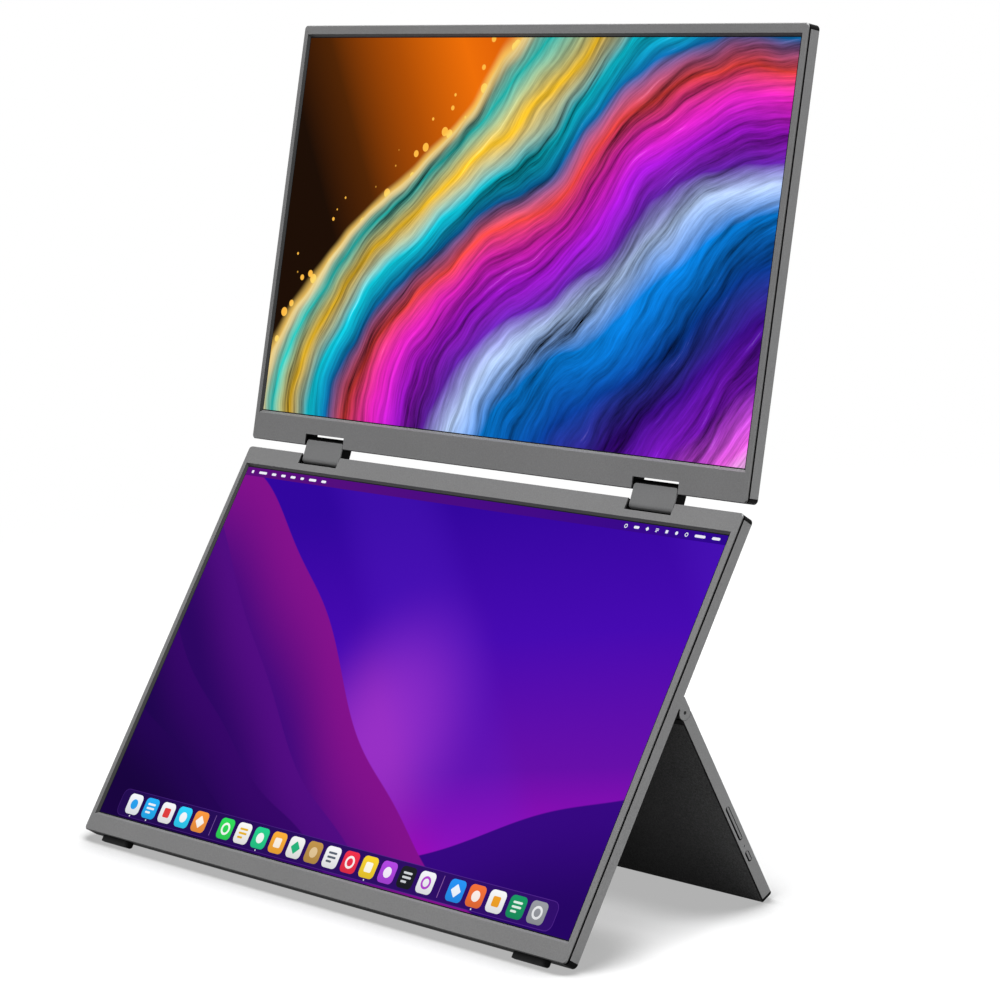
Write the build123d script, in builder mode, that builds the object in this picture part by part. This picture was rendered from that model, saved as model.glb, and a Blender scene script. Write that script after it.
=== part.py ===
from build123d import *
from math import atan2, cos, degrees, radians, sin
import os

os.makedirs("parts", exist_ok=True)

# Lengths are millimetres and angles are degrees.
# A panel has its own frame: across, up along the panel, and out of its front face.

# Screens
picture_width = 344.2
picture_height = 193.6
glass_edge = 2.2            # glass beyond the picture on every side
glass_thickness = 1.6
backlight_edge = 1.2        # backlight beyond the picture on every side

# Monitor cases
bezel_margins = 18.3        # bezel face above and below the window together
panel_thickness = 7.9
side_margin = 3.2           # bezel face beside the window
lower_far_margin = 8.9      # bezel face at the edge away from the hinges
upper_far_margin = 4.5
window_bevel = 1.2          # a bevel at 45 degrees, so it is also the depth of the glass
window_gap = 0.25           # black edge of the glass above and below the picture
bezel_plate = 0.8
bezel_chamfer = 0.4
bezel_corner = 2.0
bezel_lip = 1.3             # thicker rim of the bezel round the window
bezel_fit = 0.1
groove_width = 1.0          # black groove between the bezel and the case
groove_depth = 0.8
case_corner = 2.4
case_chamfer = 0.6
case_wall = 1.8
case_floor = 1.2
trim_thickness = 0.8
trim_end = 2.6              # black corner beyond each end of a side trim
rib_width = 1.0
rib_length = 110
rib_count = 5
rib_spacing = 58

# Driver boards
board_length = 240
board_width = 13
board_thickness = 0.8
board_from_hinge = 20
board_gap = 0.1
board_post = 3
board_post_count = 4
board_post_spacing = 70
chip_size = 8
chip_count = 3
chip_height = 0.5
chip_gap = 0.1
chip_spacing = 55

# Fold hinges
hinge_inset = 58            # from the side of the panel to the middle of a hinge
notch_wall = 1.2
axis_inset = 1.6            # from a panel's hinge edge in to its fold axis
closed_gap = 0.8            # between the two bezels when they are folded face to face
rest_fold = 10.1            # each panel to the hinge link, from straight
link_width = 28
link_radius = 3.3
link_side_gap = 1.0
link_end_gap = 0.9          # slit that can be seen through, between a link and the end of its notch
shaft_radius = 0.95
shaft_fit = 0.05
shaft_gap = 0.25            # round a shaft where it passes through a case
press_gap = 0.02
cover_thickness = 0.8
cover_top_inset = 2.5       # from the end of the link to the top edge of its cover
cover_bottom_inset = 0.8
cover_corner = 1.2
bracket_width = 9
bracket_length = 8.2
bracket_front = 2.4
bracket_gap = 0.05

# Front feet
foot_length = 21
foot_inset = 24.5           # from the side of the panel to the middle of a foot
foot_height = 3.0
foot_front = 1.6
foot_back = 6.6
foot_round = 1.5
foot_sole_start = 4.6       # where the sloping floor line leaves the bottom of the foot

# Stand
stand_thickness = 6.8
stand_length = 106.6        # from the pivot to the lower end
stand_angle = 60.4          # opened away from the back of the lower monitor
stand_axis_height = 122.95
stand_gap = 0.3
stand_round = 1.0
stand_wall = 1.8
stand_floor = 1.2
stand_end_wall = 1.3
stand_head = 6.5            # solid head of the stand below the pivot
inner_cover = 0.9
cover_start = 4.5
pad_length = 18
pad_inset = 23.4
pad_height = 0.9
pad_sole_start = 1.9
ear_width = 6
ear_gap = 0.15
ear_side_gap = 0.3
ear_tip = 1.7
pivot_radius = 1.5
pivot_end_radius = 0.85
pivot_end_length = 2
pivot_reach = 12
bush_wall = 0.9
bush_fit = 0.05

# Controls on the right side of the stand, measured down from the pivot
key_recess_width = 2.5
key_gap = 0.3               # round a key, but for its side towards the inner cover
key_inner_gap = 1.0
key_setback = 0.15
rocker_middle = 63.0
rocker_length = 19.0
rocker_inset = 3.3          # pivot of the rocker in from the side of the stand
rocker_flange = 1.2
rocker_flange_length = 20.4
rocker_boss = 2.6
rocker_pin_radius = 0.6
flange_height = 3.2
led_middle = 76.0
led_radius = 0.5
power_middle = 81.9
power_length = 5.8
power_flange_length = 6.4
power_flange = 0.8
power_flange_gap = 0.2
power_stem = 1.6
power_stem_gap = 0.05       # left to the switch when the button is pressed
power_travel = 0.4
switch_face = 4.4           # from the side of the stand in to the switch plungers
switch_plunger = 0.5
switch_plunger_size = 1.5
switch_body = 1.5
switch_size = 3.0
switch_offset = 7.5
switch_board = 0.8
switch_board_height = 3.6
switch_board_margin = 4.0

# Sockets on the left side of the stand
usb_width = 8.94
usb_height = 3.16
usb_depth = 7.3
usb_middles = (36.0, 50.0)
hdmi_middle = 66.0
hdmi_width = 10.4
hdmi_height = 2.6
hdmi_depth = 7.5
socket_wall = 0.3
socket_setback = 0.3
socket_gap = 0.2
tongue_thickness = 0.7
tongue_margin = 1.1
tongue_setback = 0.6

# Inside the stand
main_board_length = 168
main_board_start = 23.0      # from the pivot
main_board_speaker_gap = 2.6
main_board_thickness = 0.8
main_board_lift = 0.4
main_board_setback = 1.2
processor_size = 14
processor_height = 1.4
memory_size = 9
memory_pitch = 32
memory_height = 1.0
coil_size = 5
coil_count = 4
coil_pitch = 15
coil_row = 19             # from the middle of the board towards the end of the stand
coil_height = 2.4
speaker_length = 34
speaker_width = 10
speaker_height = 3.2
speaker_inset = 48.5        # from the side of the stand to the middle of a speaker
speaker_from_end = 12
slot_count = 2              # sound slots over each speaker
slot_pitch = 3.2
slot_width = 1.4
slot_length = 26
slot_chamfer = 0.45

# Worked out from the sizes above
shaft_slot = shaft_radius + shaft_gap
panel_width = picture_width + 2 * (window_bevel + side_margin)
window_width = panel_width - 2 * side_margin
window_height = picture_height + 2 * (window_gap + window_bevel)
panel_height = window_height + bezel_margins
half_width = panel_width / 2
axis_depth = panel_thickness / 2
fold_distance = panel_thickness + closed_gap
case_front = bezel_plate + groove_width
floor_depth = panel_thickness - case_floor
glass_back = window_bevel + glass_thickness
board_back = floor_depth - chip_gap - chip_height
backlight_back = board_back - board_thickness - board_gap
hinge_spread = half_width - hinge_inset
notch_width = link_width + 2 * link_side_gap
notch_depth = axis_inset + link_radius + link_end_gap
stand_half = stand_thickness / 2
stand_axis_depth = panel_thickness + stand_gap + stand_half
stand_inside = stand_half - inner_cover
stand_floor_level = stand_floor - stand_half
main_board_end = stand_length - speaker_from_end - speaker_width / 2 - main_board_speaker_gap
main_board_width = main_board_end - main_board_start


def travel(along, depth, tilt):
    # How far back and how far up a point of a leaning panel lies from the panel's front bottom edge.
    lean = radians(tilt)
    return along * sin(lean) + depth * cos(lean), along * cos(lean) - depth * sin(lean)


def leaning_frame(back, height, tilt):
    lean = radians(tilt)
    return Plane(origin=(0, back, height), x_dir=(1, 0, 0), z_dir=(0, -cos(lean), sin(lean)))


def side_plane(frame, across):
    # Seen from the right: local x runs up the panel, local y out of its front.
    return Plane(origin=frame.from_local_coords((across, 0, 0)), x_dir=frame.y_dir, z_dir=(1, 0, 0))


# The lower monitor leans so that its feet and the foot of the opened stand meet one level floor.
open_cos = cos(radians(stand_angle))
open_sin = sin(radians(stand_angle))
pad_reach = stand_length + pad_height
pad_along = stand_axis_height - pad_reach * open_cos - pad_sole_start * open_sin
pad_depth = stand_axis_depth + pad_reach * open_sin - pad_sole_start * open_cos
lower_tilt = degrees(atan2(pad_along + foot_height, pad_depth - foot_sole_start))
tangent_along = stand_axis_height + stand_half * open_sin
tangent_depth = stand_axis_depth + stand_half * open_cos
ear_top = tangent_along + (tangent_depth - panel_thickness) * open_cos / open_sin
link_tilt = lower_tilt - rest_fold
upper_tilt = link_tilt - rest_fold
stand_tilt = lower_tilt - stand_angle

foot_travel = travel(-foot_height, foot_sole_start, lower_tilt)
lower_axis = travel(panel_height - axis_inset, axis_depth, lower_tilt)
link_travel = travel(fold_distance, 0, link_tilt)
upper_axis = (lower_axis[0] + link_travel[0], lower_axis[1] + link_travel[1])
upper_axis_travel = travel(axis_inset, axis_depth, upper_tilt)
upper_edge = (upper_axis[0] - upper_axis_travel[0], upper_axis[1] - upper_axis_travel[1])
stand_axis = travel(stand_axis_height, stand_axis_depth, lower_tilt)

# Origin: on the floor, in the middle between the foremost and the rearmost point.
foremost = min(travel(-foot_height, foot_front, lower_tilt)[0], 0)
top_corner = travel(panel_height - case_chamfer, panel_thickness, upper_tilt)
rearmost = upper_edge[0] + top_corner[0]
shift = -(foremost + rearmost) / 2
lift = -foot_travel[1]

lower_frame = leaning_frame(shift, lift, lower_tilt)
upper_frame = leaning_frame(shift + upper_edge[0], lift + upper_edge[1], upper_tilt)
link_frame = leaning_frame(shift + lower_axis[0], lift + lower_axis[1], link_tilt)
stand_frame = leaning_frame(shift + stand_axis[0], lift + stand_axis[1], stand_tilt)


class Monitor:
    def __init__(self, name, frame, hinge_edge, inward, far_margin):
        self.name = name
        self.frame = frame
        self.hinge_edge = hinge_edge
        self.inward = inward
        self.up = Axis(frame.origin, frame.y_dir)
        self.out = Axis(frame.origin, frame.z_dir)
        far_edge = panel_height - hinge_edge
        self.window_middle = far_edge - inward * (far_margin + window_height / 2)

    def from_hinge(self, distance):
        return self.hinge_edge + self.inward * distance


lower = Monitor("lower", lower_frame, panel_height, -1, lower_far_margin)
upper = Monitor("upper", upper_frame, 0, 1, upper_far_margin)
hinge_middles = (-hinge_spread, hinge_spread)
bracket_offset = (notch_width + bracket_width) / 2 + notch_wall
bracket_middles = [middle + side * bracket_offset for middle in hinge_middles for side in (-1, 1)]


def save(piece, label):
    piece.part.label = label
    export_step(piece.part, f"parts/{label}.step")


def notches(monitor, depth, margin=0.0):
    # The two hinge notches of a panel, drawn at a depth behind its front face.
    with BuildSketch(monitor.frame.offset(-depth)) as outline:
        with Locations(*[(middle, monitor.hinge_edge) for middle in hinge_middles]):
            Rectangle(notch_width + 2 * margin, 2 * (notch_depth + margin))
    return outline.sketch


def panel_outline(monitor, depth, inset, corner):
    with BuildSketch(monitor.frame.offset(-depth)) as outline:
        with Locations((0, panel_height / 2)):
            RectangleRounded(panel_width - 2 * inset, panel_height - 2 * inset, corner)
    return outline.sketch


def block(plane, middle, width, height):
    with BuildSketch(plane) as outline:
        with Locations(middle):
            Rectangle(width, height)
    return outline.sketch


def side_strips(plane, low, high, thickness):
    # Two strips that run up both sides of a panel or of the stand.
    with BuildSketch(plane) as outline:
        for side in (-1, 1):
            with Locations((side * (half_width - thickness / 2), (low + high) / 2)):
                Rectangle(thickness, high - low)
    return outline.sketch


def ear_outline(start, sunk=0):
    # An ear seen from the side: round about the pivot, and sunk into the back edge of the case.
    with BuildSketch(side_plane(lower_frame, start)) as outline:
        with Locations((stand_axis_height, -stand_axis_depth)):
            Circle(stand_half)
        with BuildLine():
            Polyline(
                (stand_axis_height, -stand_axis_depth),
                (tangent_along, -tangent_depth),
                (ear_top, -panel_thickness),
                (stand_axis_height, -panel_thickness),
                close=True,
            )
        make_face()
        if sunk:
            with Locations(((stand_axis_height + ear_top) / 2, -panel_thickness)):
                Rectangle(ear_top - stand_axis_height, sunk, align=(Align.CENTER, Align.MIN))
    return outline.sketch


def build_bezel(monitor):
    frame = monitor.frame
    with BuildPart() as bezel:
        extrude(panel_outline(monitor, bezel_plate, 0, bezel_corner), amount=bezel_plate)
        front = bezel.faces().sort_by(monitor.out)[-1]
        chamfer(front.outer_wire().edges(), bezel_chamfer)
        lip_width = panel_width - 2 * (case_wall + bezel_fit)
        lip_height = window_height + 2 * bezel_lip
        lip = block(frame.offset(-window_bevel), (0, monitor.window_middle), lip_width, lip_height)
        extrude(lip, amount=window_bevel - bezel_plate)
        window = block(frame, (0, monitor.window_middle), window_width, window_height)
        extrude(window, amount=-window_bevel, taper=45, mode=Mode.SUBTRACT)
        extrude(notches(monitor, window_bevel), amount=window_bevel, mode=Mode.SUBTRACT)
    save(bezel, f"{monitor.name}_bezel")


def build_screen(monitor):
    middle = (0, monitor.window_middle)
    with BuildPart() as display:
        width = picture_width + 2 * glass_edge - 2 * bezel_fit
        height = picture_height + 2 * glass_edge
        extrude(block(monitor.frame.offset(-glass_back), middle, width, height), amount=glass_thickness)
    save(display, f"{monitor.name}_display")

    with BuildPart() as backlight:
        width = picture_width + 2 * backlight_edge
        height = picture_height + 2 * backlight_edge
        depth = backlight_back - glass_back
        extrude(block(monitor.frame.offset(-backlight_back), middle, width, height), amount=depth)
    save(backlight, f"{monitor.name}_backlight")


def case_form(monitor):
    # Solid outer form that the back cover and the side trims share.
    with BuildPart() as form:
        extrude(panel_outline(monitor, panel_thickness, 0, case_corner), amount=panel_thickness - case_front)
        back = form.faces().sort_by(monitor.out)[0]
        chamfer(back.outer_wire().edges(), case_chamfer)
        extrude(notches(monitor, panel_thickness), amount=panel_thickness, mode=Mode.SUBTRACT)
    return form.part


def build_case(monitor, form):
    frame = monitor.frame
    trims = side_strips(frame.offset(-panel_thickness), trim_end, panel_height - trim_end, trim_thickness)
    trim_depth = panel_thickness - case_front
    neck_corner = case_corner - groove_depth
    cavity_corner = case_corner - case_wall
    floor = frame.offset(-floor_depth)
    board_place = monitor.from_hinge(board_from_hinge)
    with BuildPart() as back_cover:
        add(form)
        neck = panel_outline(monitor, case_front, groove_depth, neck_corner)
        extrude(neck - notches(monitor, case_front), amount=groove_width)
        extrude(trims, amount=trim_depth, mode=Mode.SUBTRACT)
        cavity = panel_outline(monitor, floor_depth, case_wall, cavity_corner)
        cavity -= notches(monitor, floor_depth, notch_wall)
        extrude(cavity, amount=floor_depth - bezel_plate, mode=Mode.SUBTRACT)
        # Seats of the hinge brackets, open at the hinge edge
        with BuildSketch(floor):
            with Locations(*[(middle, monitor.hinge_edge) for middle in bracket_middles]):
                Rectangle(bracket_width, 2 * case_wall)
        extrude(amount=floor_depth - case_front, mode=Mode.SUBTRACT)
        # Slots where the fold shafts pass through the notch walls
        for middle in hinge_middles:
            start = middle - notch_width / 2 - notch_wall
            with BuildSketch(side_plane(frame, start)):
                with Locations((monitor.hinge_edge, -axis_depth)):
                    Rectangle(2 * (axis_inset + shaft_slot), 2 * shaft_slot)
            extrude(amount=notch_width + 2 * notch_wall, mode=Mode.SUBTRACT)
        # Ribs that carry the backlight, and posts for the driver board
        with BuildSketch(floor):
            with Locations((0, panel_height / 2)):
                with GridLocations(rib_spacing, 0, rib_count, 1):
                    Rectangle(rib_width, rib_length)
        extrude(amount=floor_depth - backlight_back)
        with BuildSketch(floor):
            with Locations((0, board_place)):
                with GridLocations(board_post_spacing, 0, board_post_count, 1):
                    Rectangle(board_post, board_post)
        extrude(amount=floor_depth - board_back)
    save(back_cover, f"{monitor.name}_back_cover")

    with BuildPart() as side_trims:
        add(form)
        extrude(trims, amount=trim_depth, mode=Mode.INTERSECT)
        if monitor is lower:
            # The trims of the lower monitor also cover its ears
            for start in (-half_width, half_width - trim_thickness):
                extrude(ear_outline(start, case_chamfer), amount=trim_thickness)
            with BuildSketch(side_plane(frame, -half_width)):
                with Locations((stand_axis_height, -stand_axis_depth)):
                    Circle(pivot_end_radius + press_gap)
            extrude(amount=panel_width, mode=Mode.SUBTRACT)
    save(side_trims, f"{monitor.name}_side_trims")

    with BuildPart() as driver_board:
        place = (0, board_place)
        extrude(block(frame.offset(-board_back), place, board_length, board_width), amount=board_thickness)
        with BuildSketch(frame.offset(-board_back)):
            with Locations(place):
                with GridLocations(chip_spacing, 0, chip_count, 1):
                    Rectangle(chip_size, chip_size)
        extrude(amount=-chip_height)
    save(driver_board, f"{monitor.name}_driver_board")


def build_brackets(monitor):
    frame = monitor.frame
    length = bracket_length - bracket_gap
    middle_along = monitor.from_hinge(bracket_gap + length / 2)
    with BuildPart() as brackets:
        with BuildSketch(frame.offset(-floor_depth)):
            with Locations(*[(middle, middle_along) for middle in bracket_middles]):
                Rectangle(bracket_width - 2 * bracket_gap, length)
        extrude(amount=floor_depth - bracket_front)
        with BuildSketch(side_plane(frame, -half_width)):
            with Locations((monitor.from_hinge(axis_inset), -axis_depth)):
                Circle(shaft_radius + shaft_fit)
        extrude(amount=panel_width, mode=Mode.SUBTRACT)
    save(brackets, f"{monitor.name}_hinge_brackets")


for monitor in (lower, upper):
    build_bezel(monitor)
    build_screen(monitor)
    build_case(monitor, case_form(monitor))
    build_brackets(monitor)

# Rubber feet, cut level with the floor
with BuildPart() as lower_feet:
    bottom = Plane(origin=lower_frame.origin, x_dir=(1, 0, 0), z_dir=-lower_frame.y_dir)
    with BuildSketch(bottom):
        for side in (-1, 1):
            with Locations((side * (half_width - foot_inset), -(foot_front + foot_back) / 2)):
                RectangleRounded(foot_length, foot_back - foot_front, foot_round)
    extrude(amount=foot_height)
    split(bisect_by=Plane.XY, keep=Keep.TOP)
save(lower_feet, "lower_feet")

# Fold hinges: a slotted link carries both fold shafts, so the panels can lie face to face
cover_low = cover_bottom_inset - link_radius
cover_high = fold_distance + link_radius - cover_top_inset
cover_middle = (cover_low + cover_high) / 2
hinge_names = ("left", "right")
for name, middle in zip(hinge_names, hinge_middles):
    link_side = side_plane(link_frame, middle - link_width / 2)
    with BuildPart() as hinge_cover:
        with BuildSketch(link_side):
            with Locations((fold_distance / 2, 0)):
                SlotCenterToCenter(fold_distance, 2 * link_radius)
                SlotCenterToCenter(fold_distance, 2 * (link_radius - cover_thickness), mode=Mode.SUBTRACT)
        extrude(amount=link_width)
        with BuildSketch(link_frame.offset(cover_thickness)):
            with Locations((middle, cover_middle)):
                RectangleRounded(link_width, cover_high - cover_low, cover_corner)
        extrude(amount=link_radius, mode=Mode.INTERSECT)
    save(hinge_cover, f"{name}_hinge_cover")

    with BuildPart() as hinge_link:
        with BuildSketch(link_side):
            with Locations((fold_distance / 2, 0)):
                SlotCenterToCenter(fold_distance, 2 * link_radius)
            with Locations((0, 0), (fold_distance, 0)):
                Circle(shaft_radius + press_gap, mode=Mode.SUBTRACT)
        extrude(amount=link_width)
        add(hinge_cover.part, mode=Mode.SUBTRACT)
    save(hinge_link, f"{name}_hinge_link")

shaft_length = notch_width + 2 * (notch_wall + bracket_length)
with BuildPart() as hinge_shafts:
    for middle in hinge_middles:
        with BuildSketch(side_plane(link_frame, middle - shaft_length / 2)):
            with Locations((0, 0), (fold_distance, 0)):
                Circle(shaft_radius)
        extrude(amount=shaft_length)
save(hinge_shafts, "hinge_shafts")

# Ears on the back of the lower monitor, which carry the stand
with BuildPart() as stand_ears:
    for start in (trim_thickness - half_width, half_width - ear_width):
        extrude(ear_outline(start), amount=ear_width - trim_thickness)
    for side in (-1, 1):
        outer = side_plane(lower_frame, side * half_width)
        with BuildSketch(outer):
            with Locations((stand_axis_height, -stand_axis_depth)):
                Circle(pivot_end_radius + press_gap)
        extrude(amount=-side * ear_width, mode=Mode.SUBTRACT)
        with BuildSketch(outer.offset(-side * pivot_end_length)):
            with Locations((stand_axis_height, -stand_axis_depth)):
                Circle(pivot_radius + press_gap)
        extrude(amount=-side * (ear_width - pivot_end_length), mode=Mode.SUBTRACT)
save(stand_ears, "stand_ears")

pivot_length = ear_width - pivot_end_length + ear_side_gap + pivot_reach
with BuildPart() as stand_pivot_pins:
    for side in (-1, 1):
        outer = side_plane(stand_frame, side * half_width)
        with BuildSketch(outer):
            Circle(pivot_end_radius)
        extrude(amount=-side * pivot_end_length)
        with BuildSketch(outer.offset(-side * pivot_end_length)):
            Circle(pivot_radius)
        extrude(amount=-side * pivot_length)
save(stand_pivot_pins, "stand_pivot_pins")

# Stand: a thin housing that holds the electronics and turns about its rounded head
stand_side = side_plane(stand_frame, -half_width)
stand_up = Axis(stand_frame.origin, stand_frame.y_dir)
stand_out = Axis(stand_frame.origin, stand_frame.z_dir)
head_cut = ear_width + ear_side_gap
bush_size = 2 * (pivot_radius + bush_fit + bush_wall)
bush_start = half_width - head_cut
with BuildPart() as stand_form:
    with BuildSketch(stand_side):
        with Locations((-stand_length / 2, 0)):
            Rectangle(stand_length, stand_thickness)
        Circle(stand_half)
    extrude(amount=panel_width)
    fillet(stand_form.edges().filter_by(Axis.X).group_by(stand_up)[0], stand_round)
    for start in (-half_width, half_width - head_cut):
        with BuildSketch(side_plane(stand_frame, start)):
            Circle(stand_half + ear_gap)
            with Locations((stand_half / 2, 0)):
                Rectangle(stand_half + 2 * ear_tip, stand_thickness)
        extrude(amount=head_cut, mode=Mode.SUBTRACT)

trim_low = stand_end_wall - stand_length
stand_trims = side_strips(stand_frame.offset(-stand_half), trim_low, 0, trim_thickness)
cover_plate = block(
    stand_frame.offset(stand_inside),
    (0, -(stand_length + cover_start) / 2),
    panel_width,
    stand_length - cover_start,
)
usb_places = [(-middle, 0) for middle in usb_middles]


# The openings have round ends in the side trims and square ones in the wall behind them.
def control_openings(outline):
    with BuildSketch(side_plane(stand_frame, half_width)) as openings:
        with Locations((-rocker_middle, 0)):
            outline(rocker_length, key_recess_width)
        with Locations((-led_middle, 0)):
            Circle(led_radius)
        with Locations((-power_middle, 0)):
            outline(power_length, key_recess_width)
    return openings.sketch


def socket_openings(outline):
    with BuildSketch(side_plane(stand_frame, -half_width)) as openings:
        with Locations(*usb_places):
            outline(usb_width + 2 * socket_gap, usb_height + 2 * socket_gap)
        with Locations((-hdmi_middle, 0)):
            Rectangle(hdmi_width + 2 * socket_gap, hdmi_height + 2 * socket_gap)
    return openings.sketch


with BuildPart() as stand_housing:
    add(stand_form.part)
    extrude(cover_plate, amount=inner_cover, mode=Mode.SUBTRACT)
    extrude(stand_trims, amount=stand_half + stand_inside, mode=Mode.SUBTRACT)
    cavity_height = stand_length - stand_end_wall - stand_head
    cavity_middle = (0, -stand_head - cavity_height / 2)
    cavity_width = panel_width - 2 * stand_wall
    cavity = block(stand_frame.offset(stand_floor_level), cavity_middle, cavity_width, cavity_height)
    extrude(cavity, amount=stand_inside - stand_floor_level, mode=Mode.SUBTRACT)
    extrude(control_openings(Rectangle), amount=-stand_wall, mode=Mode.SUBTRACT)
    extrude(socket_openings(Rectangle), amount=stand_wall, mode=Mode.SUBTRACT)
    # Seats of the pivot bushes
    for side in (-1, 1):
        with BuildSketch(side_plane(stand_frame, side * bush_start)):
            Rectangle(bush_size + 2 * press_gap, bush_size + 2 * press_gap)
        extrude(amount=-side * pivot_reach, mode=Mode.SUBTRACT)
    # Sound slots below the speakers
    with BuildSketch(stand_frame.offset(-stand_half)) as sound_slots:
        for side in (-1, 1):
            with Locations((side * (half_width - speaker_inset), speaker_from_end - stand_length)):
                with GridLocations(0, slot_pitch, 1, slot_count):
                    Rectangle(slot_length, slot_width)
        chamfer(sound_slots.vertices(), length=slot_chamfer)
    extrude(amount=stand_floor, mode=Mode.SUBTRACT)
    # Posts under the main board
    board_left = -half_width + stand_wall + main_board_setback
    board_centre = (board_left + main_board_length / 2, -(main_board_start + main_board_end) / 2)
    with BuildSketch(stand_frame.offset(stand_floor_level)):
        with Locations(board_centre):
            with GridLocations(main_board_length - 2 * board_post, main_board_width - 2 * board_post, 2, 2):
                Rectangle(board_post, board_post)
    extrude(amount=main_board_lift)
save(stand_housing, "stand_housing")

with BuildPart() as stand_inner_cover:
    extrude(cover_plate, amount=inner_cover)
    lower_edges = stand_inner_cover.edges().filter_by(Axis.X).group_by(stand_up)[0]
    fillet(lower_edges.sort_by(stand_out)[-1], inner_cover / 2)
save(stand_inner_cover, "stand_inner_cover")

with BuildPart() as stand_side_trims:
    add(stand_form.part)
    extrude(stand_trims, amount=stand_half + stand_inside, mode=Mode.INTERSECT)
    extrude(control_openings(SlotOverall), amount=-stand_wall, mode=Mode.SUBTRACT)
    extrude(socket_openings(SlotOverall), amount=stand_wall, mode=Mode.SUBTRACT)
save(stand_side_trims, "stand_side_trims")

with BuildPart() as stand_foot_pads:
    end = Plane(
        origin=stand_frame.from_local_coords((0, -stand_length, 0)),
        x_dir=(1, 0, 0),
        z_dir=-stand_frame.y_dir,
    )
    with BuildSketch(end):
        for side in (-1, 1):
            with Locations((side * (half_width - pad_inset), 0)):
                Rectangle(pad_length, stand_thickness - 2 * (stand_round + press_gap))
    extrude(amount=pad_height)
    split(bisect_by=Plane.XY, keep=Keep.TOP)
save(stand_foot_pads, "stand_foot_pads")

with BuildPart() as stand_pivot_bushes:
    for side in (-1, 1):
        with BuildSketch(side_plane(stand_frame, side * bush_start)):
            Rectangle(bush_size, bush_size)
            Circle(pivot_radius + bush_fit, mode=Mode.SUBTRACT)
        extrude(amount=-side * pivot_reach)
save(stand_pivot_bushes, "stand_pivot_bushes")

# Electronics in the stand
board_base = stand_floor_level + main_board_lift
board_top = board_base + main_board_thickness
socket_start = -half_width + socket_setback
with BuildPart() as main_board:
    extrude(
        block(stand_frame.offset(board_base), board_centre, main_board_length, main_board_width),
        amount=main_board_thickness,
    )
    with BuildSketch(stand_frame.offset(board_base)):
        for middle in usb_middles:
            with Locations((socket_start + usb_depth / 2, -middle)):
                Rectangle(usb_depth + 2 * socket_gap, usb_width + 2 * socket_gap)
        with Locations((socket_start + hdmi_depth / 2, -hdmi_middle)):
            Rectangle(hdmi_depth + 2 * socket_gap, hdmi_width + 2 * socket_gap)
    extrude(amount=main_board_thickness, mode=Mode.SUBTRACT)
    top = stand_frame.offset(board_top)
    extrude(block(top, board_centre, processor_size, processor_size), amount=processor_height)
    with BuildSketch(top):
        with Locations(board_centre):
            with GridLocations(memory_pitch, 0, 2, 1):
                Rectangle(memory_size, memory_size)
    extrude(amount=memory_height)
    with BuildSketch(top):
        with Locations((board_centre[0], board_centre[1] - coil_row)):
            with GridLocations(coil_pitch, 0, coil_count, 1):
                Rectangle(coil_size, coil_size)
    extrude(amount=coil_height)
save(main_board, "main_board")

socket_plane = side_plane(stand_frame, socket_start)
with BuildPart() as usb_c_sockets:
    with BuildSketch(socket_plane):
        with Locations(*usb_places):
            SlotOverall(usb_width, usb_height)
    extrude(amount=usb_depth)
    with BuildSketch(socket_plane):
        with Locations(*usb_places):
            SlotOverall(usb_width - 2 * socket_wall, usb_height - 2 * socket_wall)
    extrude(amount=usb_depth - socket_wall, mode=Mode.SUBTRACT)
    with BuildSketch(socket_plane.offset(tongue_setback)):
        with Locations(*usb_places):
            Rectangle(usb_width - 2 * tongue_margin, tongue_thickness)
    extrude(amount=usb_depth - tongue_setback)
save(usb_c_sockets, "usb_c_sockets")

with BuildPart() as hdmi_socket:
    with BuildSketch(socket_plane):
        with Locations((-hdmi_middle, 0)):
            Rectangle(hdmi_width, hdmi_height)
    extrude(amount=hdmi_depth)
    chamfer(hdmi_socket.edges().filter_by(Axis.X).group_by(stand_out)[0], hdmi_height / 3)
    offset(openings=hdmi_socket.faces().sort_by(Axis.X)[0], amount=-socket_wall)
    with BuildSketch(socket_plane.offset(tongue_setback)):
        with Locations((-hdmi_middle, tongue_thickness / 2)):
            Rectangle(hdmi_width - 3 * tongue_margin, tongue_thickness)
    extrude(amount=hdmi_depth - tongue_setback)
save(hdmi_socket, "hdmi_socket")

with BuildPart() as speakers:
    with BuildSketch(stand_frame.offset(stand_floor_level)):
        for side in (-1, 1):
            with Locations((side * (half_width - speaker_inset), speaker_from_end - stand_length)):
                Rectangle(speaker_length, speaker_width)
    extrude(amount=speaker_height)
save(speakers, "speakers")

# Controls: a rocker for the menu, a light and a power button
board_near = half_width - switch_face - switch_plunger - switch_body
rocker_switches = [(-rocker_middle - switch_offset, 0), (-rocker_middle + switch_offset, 0)]
switch_places = rocker_switches + [(-power_middle, 0)]
with BuildPart() as switch_board_unit:
    span = power_middle - rocker_middle + 2 * (switch_offset + switch_board_margin)
    board_place = (-(rocker_middle + power_middle) / 2, stand_floor_level + switch_board_height / 2)
    near = side_plane(stand_frame, board_near)
    extrude(block(near, board_place, span, switch_board_height), amount=-switch_board)
    with BuildSketch(near):
        with Locations(*switch_places):
            Rectangle(switch_size, switch_size)
    extrude(amount=switch_body)
    with BuildSketch(near.offset(switch_body)):
        with Locations(*switch_places):
            Rectangle(switch_plunger_size, switch_plunger_size)
    extrude(amount=switch_plunger)
save(switch_board_unit, "switch_board")

with BuildPart() as led_light_pipe:
    with BuildSketch(near):
        with Locations((-led_middle, 0)):
            Circle(led_radius - press_gap)
    extrude(amount=half_width - board_near - socket_setback)
save(led_light_pipe, "led_light_pipe")

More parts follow.
